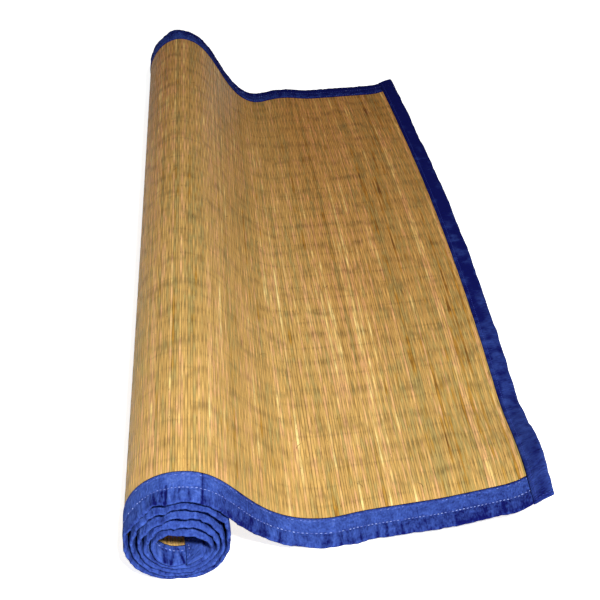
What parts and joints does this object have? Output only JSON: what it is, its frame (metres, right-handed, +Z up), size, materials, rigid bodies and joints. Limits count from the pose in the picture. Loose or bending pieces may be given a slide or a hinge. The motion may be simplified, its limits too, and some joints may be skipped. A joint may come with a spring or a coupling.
{
  "type": "reed floor mat",
  "caption": "Woven reed floor mat with cloth-bound edges, partly unrolled: one end wound into a roll, the rest falling in an S-curve to the floor.",
  "frame": {"origin": "on the floor, under the middle of the mat's bounding box", "axes": "+Z up; +Y along the reeds and the roll, from the near long edge to the far one; +X from the roll to the free end"},
  "size_m": [0.4626, 1.22, 0.1327],
  "materials": {
    "reeds": "dried golden reed stems, flattened, woven on thin cotton warps, slight natural gloss",
    "binding": "royal blue plain-woven cotton tape, puckered along its stitch lines, matte"
  },
  "bodies": {
    "root": {"reed_panel": "reeds", "near_edge_binding": "binding", "far_edge_binding": "binding", "outer_end_binding": "binding", "inner_end_binding": "binding"}
  },
  "joints": []
}
